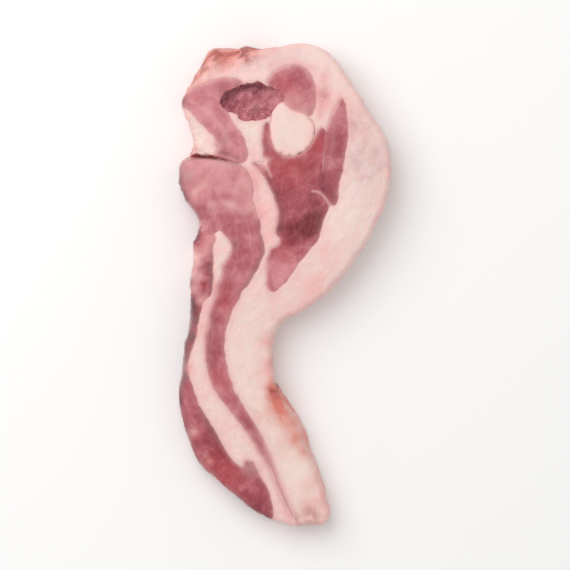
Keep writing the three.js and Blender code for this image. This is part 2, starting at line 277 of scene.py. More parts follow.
def cut_piece(name, outline, lift=0.0, swell=5.0, bumps=0.12, bump_size=3.5, grown_to=()):
    """Cuts a tissue out of the slice, as a closed mesh from the lower cut face to the upper one. lift is how
    far its upper face swells or sinks, within swell of its edge, and grown_to has the outlines of tissues
    that it passes into without a seam. Returns it with its vertices' places, their distances to its seams,
    how far they are on its outer wall, and their distances to the chop's rim."""
    flat, faces = cut_face(outline)
    if outline is not rim:
        taken.append(outline)
    count = len(flat)
    sides = np.concatenate([faces[:, [0, 1]], faces[:, [1, 2]], faces[:, [2, 0]]])
    border = sides[~np.isin(sides @ (count, 1), sides @ (1, count))]
    on_rim = distance(flat[border].mean(axis=1), *bits(rim)) < ON_RIM
    inner = border[~on_rim]
    middles = flat[inner].mean(axis=1)
    grown = np.zeros(len(inner), bool)
    for other in grown_to:
        grown |= inside(middles, other) | (distance(middles, *bits(other)) < ON_JOIN)
    edge, to_grown = [distance(flat, *flat[inner[which]].swapaxes(0, 1)) for which in (~grown, grown)]
    to_rim = distance(flat, *bits(rim))
    x, y = flat.T
    depth = np.clip(EDGE_ROUND - to_rim, 0, EDGE_ROUND)
    rounded = EDGE_ROUND - np.sqrt(EDGE_ROUND**2 - depth**2)
    body = thickness(y) + lift * (1 - np.exp(-edge / swell)) * ease(to_grown, 0, JOIN_SWELL)
    seam = np.exp(-((edge / SEAM_REACH) ** 2))
    rough = bumps * fractal(flat, bump_size, seed=len(taken)) * (1 - np.exp(-edge / SEAM_BUMPS))
    rough = rough * ease(to_grown, 0, JOIN_BUMPS)
    slump = SLUMP * np.exp(-((to_rim / SLUMP_REACH) ** 2))
    top = (FLAT_HEIGHT + wave(x, y) - rounded - slump) / FLAT_HEIGHT * body + rough
    top = top - SEAM_DEPTH * seam - cleft(x, y)
    under = rounded / FLAT_HEIGHT * body + LOWER_SEAM_DEPTH * seam

    # The outer wall goes down in rings, calmer than the rim, bulging and dented by up to a millimetre.
    wall = np.unique(border[on_rim])
    rings = WALL_RINGS - 1  # between the rim's upper and lower points
    down = np.repeat(np.arange(1, WALL_RINGS) / WALL_RINGS, len(wall))
    wall_xy = np.tile(flat[wall], (rings, 1))
    wall_z = np.tile(top[wall], rings) * (1 - down) + np.tile(under[wall], rings) * down
    nearest = [rim_tree.find((*p, 0))[1] for p in flat[wall]]
    dent = WALL_BULGE + WALL_DENT * fractal(np.column_stack([wall_xy, wall_z]), WALL_DENT_SIZE)
    outward = -np.tile(rim_inward[nearest], (rings, 1))
    mid_wall = np.sin(down * math.pi)[:, None]
    calming = np.tile((calm_rim - rim)[nearest], (rings, 1))
    wall_xy = wall_xy + outward * dent[:, None] * mid_wall**0.7 + calming * mid_wall**0.4

    ring_start = dict(zip(wall.tolist(), range(2 * count, 2 * count + len(wall))))
    chains = {
        v: [v, *(ring_start[v] + k * len(wall) for k in range(rings)), v + count] for v in wall.tolist()
    }
    polygons = faces.tolist() + (faces[:, ::-1] + count).tolist()
    for (i, j), outer in zip(border.tolist(), on_rim):
        left = chains.get(i, [i, i + count])
        right = chains.get(j, [j, j + count])
        if outer:
            polygons += [[right[k], left[k], left[k + 1], right[k + 1]] for k in range(WALL_RINGS)]
        else:
            polygons.append([j] + left + right[:0:-1])

    place = np.vstack([flat, flat, wall_xy])
    z = np.concatenate([top, under, wall_z])
    at = np.column_stack([np.vstack([flat, flat, np.tile(flat[wall], (rings, 1))]), z])
    share = np.clip(z / thickness(at[:, 1]), 0, 1)
    for mid_x, mid_y, radius, out_x, out_y in FLARES:
        off = np.hypot(at[:, 0] - mid_x * GRID, at[:, 1] - mid_y * GRID) / (radius * GRID)
        push = np.exp(-(off**2)) * (1 - share) * GRID
        place = place + push[:, None] * (out_x, out_y)

    # On their way down the wall, the borders of the tissues and their colours wander sideways.
    to_rim = np.concatenate([to_rim, to_rim, np.zeros(len(down))])
    lower = 1 - ease(share, DRIFT_FULL, DRIFT_START)
    near = np.flatnonzero((lower > 0) & (to_rim < DRIFT_END))
    nearest = [rim_tree.find((*p, 0))[1] for p in at[near, :2]]
    fading = np.exp(-((to_rim[near] / DRIFT_REACH) ** 2))
    drift = DRIFT * lower[near] * fractal(at[near], DRIFT_SIZE, seed=40) * fading
    place[near] += drift[:, None] * rim_inward[nearest][:, ::-1] * (1, -1)
    swirl = np.array([noise.noise_vector(Vector(p) / COLOUR_DRIFT_SIZE)[:2] for p in at])
    at[:, :2] += COLOUR_DRIFT * lower[:, None] * swirl
    below = np.concatenate([0 * top, top - under, np.tile(top[wall], rings) - wall_z])
    at[:, 2] = TAIL_THICKNESS - EDGE_ROUND - below  # level over the upper face
    place = place + cad_middle - rim_middle
    mesh = bpy.data.meshes.new(name)
    mesh.from_pydata((np.column_stack([place, z]) * MM).tolist(), [], polygons)
    mesh.polygons.foreach_set("use_smooth", [True] * len(mesh.polygons))
    mesh.set_sharp_from_angle(angle=math.radians(SHARP_ANGLE))
    piece = bpy.data.objects.new(name, mesh)
    bpy.context.scene.collection.objects.link(piece)
    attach(piece, "root")
    wallness = 0.5 * depth / EDGE_ROUND
    side = np.concatenate([wallness, wallness, 0.5 + 0.5 * np.sin(down * math.pi)])
    edge = np.concatenate([edge, edge, np.tile(edge[wall], rings)])
    return piece, at, edge, side, to_rim


# The round bone: the sawn shaft of the hip, white and dense, an oval of 19 by 22 mm with a pinker skin. It
# runs through the slice and stands a hair proud of the flesh, which has shrunk back from it.
ROUND_BONE = [
    (-3, 157.5), (4, 153), (21, 144), (26, 135), (24.5, 125), (10, 111.5), (-8, 116), (-12, 145),
]


def linear(hex_colour):
    """An sRGB hex colour as the linear values that shaders take."""
    parts = [int(hex_colour[i : i + 2], 16) / 255 for i in (1, 3, 5)]
    return [c / 12.92 if c <= 0.04045 else ((c + 0.055) / 1.055) ** 2.4 for c in parts] + [1.0]


def add(tree, kind, inputs=None, **settings):
    """Adds a node with its settings, and with values or links for its inputs."""
    made = tree.nodes.new("ShaderNode" + kind)
    for name, value in settings.items():
        setattr(made, name, value)
    for key, value in (inputs or {}).items():
        if isinstance(value, bpy.types.NodeSocket):
            tree.links.new(value, made.inputs[key])
        else:
            made.inputs[key].default_value = value
    return made


def surface(name, **values):
    """A new material with values on its surface shader's own sockets, and its node tree and that shader."""
    material = bpy.data.materials.new(name)
    material.use_nodes = True
    shader = material.node_tree.nodes["Principled BSDF"]
    for key, value in values.items():
        shader.inputs[key.replace("_", " ")].default_value = value
    return material, material.node_tree, shader


def paint(piece, name, values):
    """Stores one number or one vector on each vertex, for the materials to read."""
    is_vector = np.ndim(values) == 2
    attribute = piece.data.attributes.new(name, "FLOAT_VECTOR" if is_vector else "FLOAT", "POINT")
    attribute.data.foreach_set("vector" if is_vector else "value", np.ravel(values).astype(np.float32))


def blots(at, marks):
    """Soft round patches, each of a middle and radius on the grid and a strength."""
    total = np.zeros(len(at))
    for x, y, radius, strength in marks:
        away = np.hypot(at[:, 0] - x * GRID, at[:, 1] - y * GRID) / (radius * GRID)
        total += strength * np.exp(-(away**2))
    return total


def grain(at, points):
    """How far each place is along a line, to its side and up: the way that fibres and lobules lie."""
    line = smooth_line(points, closed=False)[::2]
    flat = at[:, :2]
    nearest = np.full(len(at), np.inf)
    found = at.copy()
    run = 0.0
    for a, b in zip(line, line[1:]):
        along = b - a
        length = math.hypot(*along)
        t = (flat - a) @ along / length
        t = np.clip(t, 0 if run else -np.inf, length)
        off = flat - a - t[:, None] * along / length
        away = np.hypot(*off.T)
        closer = away < nearest
        nearest[closer] = away[closer]
        side = np.sign(along[0] * off[:, 1] - along[1] * off[:, 0]) * away
        found[closer, 0] = run + t[closer]
        found[closer, 1] = side[closer]
        run += length
    return found


# Compact bone, sawn: ivory with a blush, nearly smooth, with saw lines 0.4 mm apart and a faint wet sheen.
SAW_LINE, SAW_LINE_LENGTH = 0.4, 9
BLUSH = 5  # how wide its pinker clouds are
sawn_bone, tree, shader = surface(
    "sawn_compact_bone", Roughness=0.42, Subsurface_Weight=0.2, Subsurface_Scale=0.002
)
across = add(tree, "Attribute", attribute_name="grain").outputs["Vector"]
film = add(tree, "Attribute", attribute_name="film").outputs["Fac"]
stain = add(tree, "Attribute", attribute_name="stain").outputs["Fac"]
drawn = add(
    tree, "VectorMath", {0: across, 1: (1 / SAW_LINE_LENGTH, 1 / SAW_LINE, 1)}, operation="MULTIPLY"
).outputs[0]
saw_lines = add(tree, "TexNoise", {"Vector": drawn, "Scale": 1.0, "Detail": 3.0}).outputs["Fac"]
cloud = add(tree, "TexNoise", {"Vector": across, "Scale": 1 / BLUSH, "Detail": 4.0}).outputs["Fac"]
ivory = linear("#f2dcd3")
for share, colour in ((cloud, "#e6c6bc"), (film, "#eeaea8"), (stain, "#8d4346")):
    ivory = add(tree, "Mix", {0: share, 6: ivory, 7: linear(colour)}, data_type="RGBA").outputs[2]
tree.links.new(ivory, shader.inputs["Base Color"])
relief = add(tree, "Bump", {"Height": saw_lines, "Strength": 0.35, "Distance": 0.0001})
tree.links.new(relief.outputs[0], shader.inputs["Normal"])

bone_line = ragged(smooth_line(ROUND_BONE))
bone, at, edge, *_ = cut_piece("hip_bone", bone_line, lift=0.3, swell=0.5, bumps=0.03)
paint(bone, "grain", grain(at, [(-12, 130), (26, 140)]))
pink = [(22, 128, 9, 0.3), (6, 150, 8, 0.2), (0, 116, 6, 0.25)]
paint(bone, "film", 0.8 * np.exp(-edge / 0.9) + blots(at, pink))
nicks = [
    (13, 112.5, 2.2, 0.9), (20.5, 117, 2.2, 0.8), (26, 131, 2, 0.5), (4, 112, 1.5, 0.5), (24, 123, 1.5, 0.5),
    (-3, 114, 1.5, 0.4), (27, 139, 1.5, 0.3),
]
paint(bone, "stain", blots(at, nicks))
bone.data.materials.append(sawn_bone)
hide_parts("bone_round")


# The spongy bone beside it: a honeycomb of thin struts round red marrow, which the saw has torn open. It
# lies 1.2 mm deeper than the cut, with painted shadow on its upper rim, pale bone chips and painted
# highlights.
SPONGY_BONE = [
    (-56, 157), (-52, 165), (-24, 175), (-15, 171.5), (-4, 168), (-1, 160), (-7, 151), (-14, 144),
    (-37, 142), (-41.5, 148), (-50, 149.5),
]
JAGS, JAG_SIZE = 0.7, 1.7  # how far the torn edge strays, and how wide its jags are


def streaks(at, marks):
    """Soft lines, each through points of the grid, with a half width in millimetres and a strength."""
    total = np.zeros(len(at))
    for points, width, strength in marks:
        line = ragged(smooth_line(points, closed=False))
        away = distance(at[:, :2], line[:-1], line[1:]) / width
        total = np.maximum(total, strength * np.exp(-(away**2)))
    return total


# Spongy bone with marrow: maroon pores about 1 mm wide between paler struts, rough and wet.
PORE, PORE_WARP = 1.1, 1.5
MARROW_PATCH = 3.0
red_marrow, tree, shader = surface(
    "spongy_bone_with_marrow", Roughness=0.38, Coat_Weight=0.2, Coat_Roughness=0.25
)
place = add(tree, "Attribute", attribute_name="grain").outputs["Vector"]
warp = add(tree, "TexNoise", {"Vector": place, "Scale": 1 / PORE_WARP}).outputs["Color"]
place = add(tree, "VectorMath", {0: warp, 1: (1.0, 1.0, 1.0), 2: place}, operation="MULTIPLY_ADD").outputs[0]
pores = add(
    tree, "TexVoronoi", {"Vector": place, "Scale": 1 / PORE}, feature="DISTANCE_TO_EDGE"
).outputs["Distance"]
struts = add(tree, "MapRange", {"Value": pores, 1: 0.0, 2: 0.22, 3: 1.0, 4: 0.0}).outputs[0]
cloud = add(tree, "TexNoise", {"Vector": place, "Scale": 1 / MARROW_PATCH, "Detail": 3.0}).outputs["Fac"]
patchy = add(tree, "MapRange", {"Value": cloud, 1: 0.38, 2: 0.62}).outputs[0]
some_struts = add(tree, "Math", {0: struts, 1: 0.38}, operation="MULTIPLY").outputs[0]
dusk_and_shade = add(tree, "Attribute", attribute_name="dusk_and_shade").outputs["Fac"]
film = add(tree, "Attribute", attribute_name="film").outputs["Fac"]
marrow = linear("#8a2c39")
for share, colour in ((patchy, "#c56a74"), (some_struts, "#c27379"), (dusk_and_shade, "#5e1822"), (film, "#d6888b")):
    marrow = add(tree, "Mix", {0: share, 6: marrow, 7: linear(colour)}, data_type="RGBA").outputs[2]
tree.links.new(marrow, shader.inputs["Base Color"])
relief = add(tree, "Bump", {"Height": struts, "Strength": 0.7, "Distance": 0.0004})
tree.links.new(relief.outputs[0], shader.inputs["Normal"])

spongy_line = ragged(smooth_line(SPONGY_BONE))
for point in spongy_line:
    point += JAGS * np.array(noise.noise_vector(Vector((*point, 9)) / JAG_SIZE)[:2])
spongy, at, *_ = cut_piece(
    "spongy_hip_bone", spongy_line, lift=-1.2, swell=0.9, bumps=0.5, bump_size=2.2
)
paint(spongy, "grain", grain(at, [(-56, 150), (0, 165)]))
# pale chips of bone; the first two marks are painted highlights
chips_and_highlights = [
    (-31, 164, 2.5, 0.7), (-14, 169, 3, 0.4), (-8, 158, 8, 0.7), (-26, 155, 9, 0.35), (-38, 147, 5, 0.3),
]
paint(spongy, "film", blots(at, chips_and_highlights))
# painted shadow along the upper rim of the sunken bone, and darker spots
painted_shadow_rim = streaks(at, [([(-54, 157), (-46, 165), (-30, 171), (-12, 170)], 1.3, 0.75)])
hollows = [(-46, 156, 7, 0.25), (-25, 150, 4, 0.3), (-30, 168, 6, 0.25), (-22, 167, 4, 0.2)]
paint(spongy, "dusk_and_shade", painted_shadow_rim + blots(at, hollows))
spongy.data.materials.append(red_marrow)
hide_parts("bone_spongy")


# The lean round the bones: muscles of the loin cut across their fibres, held by the fat and by each other.
# The small one over the bones comes first. Each fills its outline through the whole thickness.
TOP_MUSCLE = [
    (-16, 173), (-10, 183), (10, 190.5), (23.5, 179), (27, 159), (21, 145), (11, 149), (2, 154),
    (-8, 166),
]
MOTTLE = 6  # how wide the lighter and darker patches of lean are


def raw_muscle(name, bundle, along, up):
    """Raw lean lamb, cut with a knife: dusky pink red and moist, so it has a soft broken gloss. Bundles of
    fibres, bundle mm across and so many times as long along the cut and up through the slice, show as a
    fine mottle with paler films between them."""
    material, tree, shader = surface(
        name, Subsurface_Weight=0.15, Subsurface_Scale=0.0015, Specular_IOR_Level=0.35,
        Coat_Weight=0.1, Coat_Roughness=0.2,
    )
    tone, dusk_and_shade, stain, film = [
        add(tree, "Attribute", attribute_name=painted).outputs["Fac"]
        for painted in ("tone", "dusk_and_shade", "stain", "film")
    ]
    place = add(tree, "Attribute", attribute_name="grain").outputs["Vector"]
    warp = add(tree, "TexNoise", {"Vector": place, "Scale": 1 / MOTTLE, "Detail": 2.0}).outputs["Color"]
    place = add(
        tree, "VectorMath", {0: warp, 1: (3.0, 3.0, 3.0), 2: place}, operation="MULTIPLY_ADD"
    ).outputs[0]
    fibres = add(
        tree, "VectorMath", {0: place, 1: (1 / along, 1.0, 1 / up)}, operation="MULTIPLY"
    ).outputs[0]
    cells = add(tree, "TexVoronoi", {"Vector": fibres, "Scale": 1 / bundle}, feature="SMOOTH_F1")
    cell_shade = add(tree, "SeparateColor", {0: cells.outputs["Color"]}).outputs[0]
    walls = add(
        tree, "TexVoronoi", {"Vector": fibres, "Scale": 1 / bundle}, feature="DISTANCE_TO_EDGE"
    ).outputs["Distance"]
    films = add(
        tree, "MapRange", {"Value": walls, 1: 0.0, 2: 0.3, 3: 1.0, 4: 0.0}, interpolation_type="SMOOTHSTEP"
    ).outputs[0]
    strands = add(tree, "TexNoise", {"Vector": fibres, "Scale": 2.5 / bundle, "Detail": 3.0}).outputs["Fac"]
    mottle = add(tree, "TexNoise", {"Vector": place, "Scale": 1 / MOTTLE, "Detail": 5.0}).outputs["Fac"]
    for pattern, weight in ((mottle, 1.8), (cell_shade, 0.3), (strands, 0.7)):
        lower = add(tree, "Math", {0: tone, 1: weight / 2}, operation="SUBTRACT").outputs[0]
        tone = add(tree, "Math", {0: pattern, 1: weight, 2: lower}, operation="MULTIPLY_ADD").outputs[0]
    red = add(tree, "MapRange", {"Value": tone, 1: -1.0, 2: 0.0}).outputs[0]
    pale = add(tree, "Clamp", {0: tone}).outputs[0]
    sparse = add(tree, "MapRange", {"Value": mottle, 1: 0.5, 2: 0.7, 3: 0.0, 4: 0.2}).outputs[0]
    sparse = add(tree, "Math", {0: sparse, 1: red}, operation="MULTIPLY").outputs[0]
    veins = add(tree, "Math", {0: films, 1: sparse}, operation="MULTIPLY").outputs[0]
    # The dusk layer darkens dusky flesh, and also carries painted shade on the rounded outer walls, along
    # seams and in the cleft.
    flesh = linear("#6c121c")
    for share, colour in (
        (red, "#a64c56"), (pale, "#cf868b"), (veins, "#d9a09f"),
        (dusk_and_shade, "#6c3c45"), (stain, "#bf4549"), (film, "#edb9b4"),
    ):
        flesh = add(tree, "Mix", {0: share, 6: flesh, 7: linear(colour)}, data_type="RGBA").outputs[2]
    tree.links.new(flesh, shader.inputs["Base Color"])
    gloss = add(tree, "MapRange", {"Value": mottle, 1: 0.3, 2: 0.7, 3: 0.3, 4: 0.5}).outputs[0]
    tree.links.new(gloss, shader.inputs["Roughness"])
    height = add(tree, "Math", {0: films, 1: -0.5, 2: strands}, operation="MULTIPLY_ADD").outputs[0]
    relief = add(tree, "Bump", {"Height": height, "Strength": 0.5, "Distance": 0.00018})
    tree.links.new(relief.outputs[0], shader.inputs["Normal"])
    return material


cross_cut = raw_muscle("raw_muscle_cut_across", bundle=1.3, along=1.6, up=3.0)

top_line = ragged(smooth_line(TOP_MUSCLE))
top_muscle, at, edge, *_ = cut_piece("top_muscle", top_line, lift=0.3, grown_to=[spongy_line])
paint(top_muscle, "grain", grain(at, [(-14, 172), (22, 150)]))
shade = [
    (-6, 175, 8, -0.1), (12, 160, 10, 0.15), (16, 182, 7, -0.05), (20, 152, 6, 0.35), (4, 184, 8, 0.1),
]
pale = [(16, 151, 6, 0.2), (3, 160, 4, 0.25), (11, 159, 5, 0.25)]
paint(top_muscle, "tone", 0.42 + blots(at, shade))
paint(top_muscle, "film", 0.6 * np.exp(-edge / 1.0) + blots(at, pale))
paint(top_muscle, "dusk_and_shade", blots(at, [(-14, 172, 4, 0.4), (21, 149, 4, 0.3), (12, 186, 8, 0.15)]))
paint(top_muscle, "stain", blots(at, [(0, 173, 10, 0.3), (8, 162, 8, 0.15)]))
top_muscle.data.materials.append(cross_cut)
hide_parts("lean_top")


# The chine strip: a pale muscle bent like a chevron round the outer end of the spongy bone. It swells a
# little towards its middle, and its outer wall is part of the chop's left side.
CHINE_STRIP = [
    (-37, 175), (-48, 176.5), (-82, 167.5), (-95, 154), (-85, 151), (-69, 135), (-57, 121), (-61, 110),
    (-48, 107.5), (-38, 104.5), (-32.5, 108), (-35, 125), (-45, 142), (-50, 153), (-50, 162), (-44, 166),
    (-34, 170),
]
SKIN_PATCH = 8


def skin(at, side):
    """Thin pale membrane in patches on the outer wall."""
    return side * ease(fractal(at, SKIN_PATCH, seed=20), -0.5, 0.5)


strip_line = ragged(smooth_line(CHINE_STRIP))
strip, at, edge, side, _ = cut_piece(
    "chine_strip", strip_line, lift=0.5, swell=3.0, grown_to=[spongy_line]
)
paint(strip, "grain", grain(at, [(-40, 172), (-76, 164), (-62, 142), (-44, 112)]))
shade = [(-76, 160, 8, -0.3), (-50, 172, 9, -0.4), (-42, 130, 6, -0.1)]
paint(strip, "tone", 0.8 + blots(at, shade))
pale = [([(-80, 158), (-68, 150), (-54, 134), (-47, 118)], 1.4, 0.2)]
# painted shade: dark lines along both lips of the cleft
cleft_shade_lips = [([(-57, 114), (-48, 112), (-40, 107.5)], 0.8, 0.4), ([(-60, 108), (-46, 105), (-36, 101)], 1.0, 0.6)]
paint(strip, "film", 0.5 * np.exp(-edge / 0.8) + streaks(at, pale) + 0.5 * skin(at, side))
greyed = [(-88, 157, 5, 0.35), (-55, 170, 6, 0.3), (-40, 174, 5, 0.3), (-54, 121, 6, 0.3)]
# painted shade on the rounded outer wall, and greyer patches
paint(strip, "dusk_and_shade", np.minimum(0.7 * side, 0.3) + blots(at, greyed) + streaks(at, cleft_shade_lips))
paint(strip, "stain", blots(at, [(-78, 160, 7, 0.2), (-52, 172, 8, 0.2)]))
strip.data.materials.append(cross_cut)
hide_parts("lean_chine_strip")


# The eye of the loin is the largest muscle and lies 0.9 mm lower than the fat. The cap muscle is a wedge
# between it and the fat, grown to the eye's side, with a pale seam of film across its lower end.
CAP_MUSCLE = [
    (49, 160), (54.5, 141), (47.5, 87), (42.5, 68), (33, 77), (27, 82), (27, 90), (31, 99), (36, 135),
]
EYE_MUSCLE = [
    (-15, 140), (-19.5, 132), (-18.5, 112), (-17, 107), (-22, 105), (-28, 105.5), (-17, 92),
    (-6.5, 62), (-8, 46), (-5, 40), (-7, 34), (-13.5, 29), (-14, -3), (-10, -6.5), (21, 29.5),
    (29, 39), (34.5, 59), (42, 75), (40, 97), (40, 127), (31, 135.5), (22, 122), (6, 119), (-8, 127),
]
PALE_SEAM = ([(23, 81), (28, 80), (33, 77), (37, 71), (40, 64)], 0.6, 0.5)
cap_line = ragged(smooth_line(CAP_MUSCLE))
eye_line = ragged(smooth_line(EYE_MUSCLE))

cap_muscle, at, edge, *_ = cut_piece("cap_muscle", cap_line, lift=-0.5, grown_to=[eye_line])
paint(cap_muscle, "grain", grain(at, [(48, 158), (36, 75)]))
shade = [(46, 148, 10, 0.7), (38, 84, 12, -0.25), (38, 135, 7, 0.2), (47, 116, 9, -0.2)]
paint(cap_muscle, "tone", 0.02 + blots(at, shade))
pale = [([(43, 150), (41, 120), (37, 100)], 1.6, 0.16), ([(31, 100), (32, 112), (35, 128)], 1.5, 0.2)]
paint(cap_muscle, "film", 0.5 * np.exp(-edge / 0.7) + streaks(at, [PALE_SEAM, *pale]))
paint(cap_muscle, "dusk_and_shade", blots(at, [(34, 86, 7, 0.15), (43, 76, 5, 0.2)]))
paint(cap_muscle, "stain", blots(at, [(33, 122, 6, 0.3)]))
cap_muscle.data.materials.append(cross_cut)
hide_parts("lean_cap")

eye, at, edge, *_ = cut_piece("eye_muscle", eye_line, lift=-0.9, bumps=0.16, grown_to=[cap_line])
paint(eye, "grain", grain(at, [(-5, 110), (12, 60), (0, 5)]))
shade = [
    (22, 53, 11, -1.6), (6, 44, 14, -0.5), (-2, 12, 20, 0.95), (-6, 6, 10, 0.25), (6, 100, 16, 0.05),
    (-14, 126, 7, 0.5), (30, 122, 8, -0.15), (0, 84, 12, -0.1), (26, 78, 8, -0.4), (24, 98, 9, -0.2),
]
paint(eye, "tone", 0.01 + blots(at, shade))
pale = [([(-5, 34), (4, 31), (14, 33)], 1.0, 0.08), ([(-17, 104), (-14, 98), (-12, 94)], 0.7, 0.5)]
spots = [(-19, 104, 5, 0.6), (-15, 108, 3, 0.4), (16, 110, 4, 0.14), (8, 98, 4, 0.12), (0, 110, 5, 0.12)]
paint(eye, "film", 0.45 * np.exp(-edge / 0.6) + streaks(at, [PALE_SEAM, *pale]) + blots(at, spots))
# painted shadow: a dark line along the eye's left edge, beside the pale fat
seam_shadow_line = [([(-16, 95), (-9, 78), (-5, 60), (-6, 45)], 1.5, 0.45)]
paint(eye, "dusk_and_shade", blots(at, [(-17, 118, 4, 0.3)]) + streaks(at, seam_shadow_line))
red = [(8, 104, 22, 0.4), (30, 122, 8, 0.4), (0, 28, 10, 0.3), (20, 54, 12, 0.1), (-12, 100, 8, 0.2)]
paint(eye, "stain", blots(at, red))
eye.data.materials.append(cross_cut)
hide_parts("lean_eye")


# The fillet: a tender pale muscle that bulges 1.2 mm above the cut, rounded and skinned on its free side.
# An open cleft parts it from the chine strip, and at its foot it passes into the inner flank muscle. The
# flank is two sheets of belly muscle down the tail, cut along their fibres, so that they are streaked.
FILLET = [
    (-85, 109), (-38, 103.5), (-29, 91), (-26.5, 69), (-24, 58), (-44, 62), (-55, 62), (-64, 58),
    (-70, 52), (-80, 53), (-93, 67), (-96, 103),
]
FLANK_INNER = [
    (-72, 46), (-70, 53), (-55, 63), (-33, 59.5), (-23.5, 58), (-20.5, 47), (-18, 27), (-29, 4),
    (-36, -5), (-51, -41), (-50, -71), (-41, -96), (-18, -135), (3, -187), (9, -200), (7, -203),
    (-17.5, -154), (-35, -125), (-63, -86), (-68.5, -60), (-66, -30), (-55.5, 5), (-53.5, 16),
    (-46, 32), (-56, 46), (-61, 44), (-66, 46),
]
FLANK_OUTER = [
    (-73, 52), (-61, 43), (-62, 30), (-62, -2), (-64.5, -9), (-70, -15), (-77, -46), (-83.5, -69),
    (-79, -90), (-74, -104), (-60, -127), (-45, -152), (-38, -157), (-33, -152), (-27, -154), (-23, -163),
    (-13, -181), (-11, -205), (-16, -214), (-84, -168), (-102, -123), (-92, -23), (-90, 12), (-88, 48),
]
TAIL_RUN = [(-40, 60), (-36, 20), (-56, -40), (-58, -80), (-30, -125), (-5, -175), (12, -230)]
FILLET_TURN = 46, 72  # how high on the grid the flank's colour turns into the fillet's
fillet_line = ragged(smooth_line(FILLET))
inner_line = ragged(smooth_line(FLANK_INNER))
outer_line = ragged(smooth_line(FLANK_OUTER))
length_cut = raw_muscle("raw_muscle_cut_along", bundle=1.1, along=6.0, up=1.2)

fillet, at, edge, side, _ = cut_piece(
    "fillet", fillet_line, lift=1.2, swell=4.0, bumps=0.2, bump_size=6, grown_to=[inner_line]
)
paint(fillet, "grain", grain(at, TAIL_RUN))
up_flank = ease(at[:, 1] / GRID, *FILLET_TURN)
low_shade = [(-49, 59, 9, -0.15), (-69, 72, 8, -0.2)]
shade = [(-75, 90, 10, 0.25), (-56, 80, 8, -0.1), (-50, 98, 10, 0.1), *low_shade]
paint(fillet, "tone", 0.15 + 0.75 * up_flank + blots(at, shade))
# pale film and painted highlights, where the wet fillet gleams
gleams = [
    (-64, 69, 4, 0.45), (-47, 68, 4, 0.3), (-74, 82, 6, 0.25), (-34, 86, 8, 0.4), (-58, 98, 14, 0.2),
    (-78, 80, 3, 0.25), (-85, 94, 6, 0.3), (-44, 80, 5, 0.2), (-30, 66, 5, 0.25),
]
gleam_lines = [([(-53, 71), (-45, 68), (-36, 63)], 1.5, 0.3), ([(-79, 78), (-68, 88)], 1.6, 0.25)]
film = 0.5 * np.exp(-edge / 1.2) + streaks(at, gleam_lines) + blots(at, gleams)
paint(fillet, "film", film + 0.45 * skin(at, side))
# painted shade in the cleft and on the rounded outer wall; the greyed marks are painted shade where the
# fillet rolls off at its left
cleft_shade_line = streaks(at, [([(-86, 109), (-60, 108), (-40, 104)], 0.8, 0.5)])
greyed = [(-87, 93, 8, 0.55), (-88, 76, 6, 0.35)]
paint(fillet, "dusk_and_shade", np.minimum(0.9 * side, 0.4) + cleft_shade_line + blots(at, greyed))
paint(fillet, "stain", blots(at, [(-74, 84, 8, 0.25)]))
fillet.data.materials.append(cross_cut)
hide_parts("lean_fillet")

flank_inner, at, edge, side, _ = cut_piece(
    "inner_flank_muscle", inner_line, lift=-0.2, swell=3.0, grown_to=[fillet_line, outer_line]
)
paint(flank_inner, "grain", grain(at, TAIL_RUN))
up_flank = ease(at[:, 1] / GRID, *FILLET_TURN)
shade = [
    (-30, 40, 12, 0.35), (-38, 0, 18, 0.15), (-64, -56, 8, -0.15), (-10, -165, 26, 0.4),
    (-52, -84, 14, 0.35), (-47, 50, 8, -0.1), (-58, -43, 9, 0.3), (-66, 50, 6, 0.5), (-53, -22, 6, 0.35),
    *low_shade,
]
paint(flank_inner, "tone", 0.25 + 0.6 * up_flank + blots(at, shade))
thin_end = ease(-at[:, 1] / GRID, 110, 185)
film = 0.45 * np.exp(-edge / 0.9) + thin_end * (0.25 + 0.5 * np.exp(-edge / 0.8))
film = film + streaks(at, gleam_lines) + blots(at, gleams)  # the fillet's gleams run on into it
paint(flank_inner, "film", film + 0.5 * skin(at, side))
dark_side = [
    ([(-22, 54), (-19.5, 40), (-19, 26), (-30, 4), (-38, -8)], 1.3, 0.5),
    ([(-60, -24), (-65, -50), (-64, -72)], 1.6, 0.2),
]
paint(flank_inner, "dusk_and_shade", streaks(at, dark_side) + blots(at, [(-43, 35, 3, 0.6)]) + 0.5 * thin_end)
paint(flank_inner, "stain", blots(at, [(-46, -10, 14, 0.2), (-55, -80, 12, 0.3), (-53, -22, 6, 0.25)]))
flank_inner.data.materials.append(length_cut)
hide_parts("lean_flank_inner")

flank_outer, at, edge, side, _ = cut_piece(
    "outer_flank_muscle", outer_line, lift=-0.8, swell=3.0, bumps=0.25, grown_to=[inner_line]
)
paint(flank_outer, "grain", grain(at, TAIL_RUN))
shade = [
    (-68, 34, 14, 0.8), (-70, -10, 12, 0.35), (-84, -78, 14, -0.1), (-84, -104, 10, 0.3),
    (-60, -136, 14, -0.35), (-20, -192, 16, -0.3), (-66, -118, 8, -0.3), (-48, -153, 10, -0.5),
    (-70.5, 1, 2.5, -1.3), (-70, -4, 2.5, -1.1), (-64, -8, 2, -0.8), (-72, 6, 6, 0.8),
    (-76, -26, 9, -0.6), (-66, 14, 6, -0.8),
]
paint(flank_outer, "tone", 0.03 + blots(at, shade))
pale = [
    (-77, 24, 6, 0.6), (-77, 10, 6, 0.6), (-65, -153, 3, 0.35), (-69, -147, 3, 0.25), (-78, -128, 5, 0.3),
    (-68, 36, 8, 0.3), (-31, -158, 8, 0.3), (-73, -13, 4, 0.4), (-75, 20, 4, 0.3), (-84, -72, 4, 0.15),
    (-77, 42, 6, -0.7), (-78, -3, 5, 0.45), (-80, -126, 4, 0.3),
]
paint(flank_outer, "film", 0.4 * np.exp(-edge / 0.7) + blots(at, pale) + 0.45 * skin(at, side))
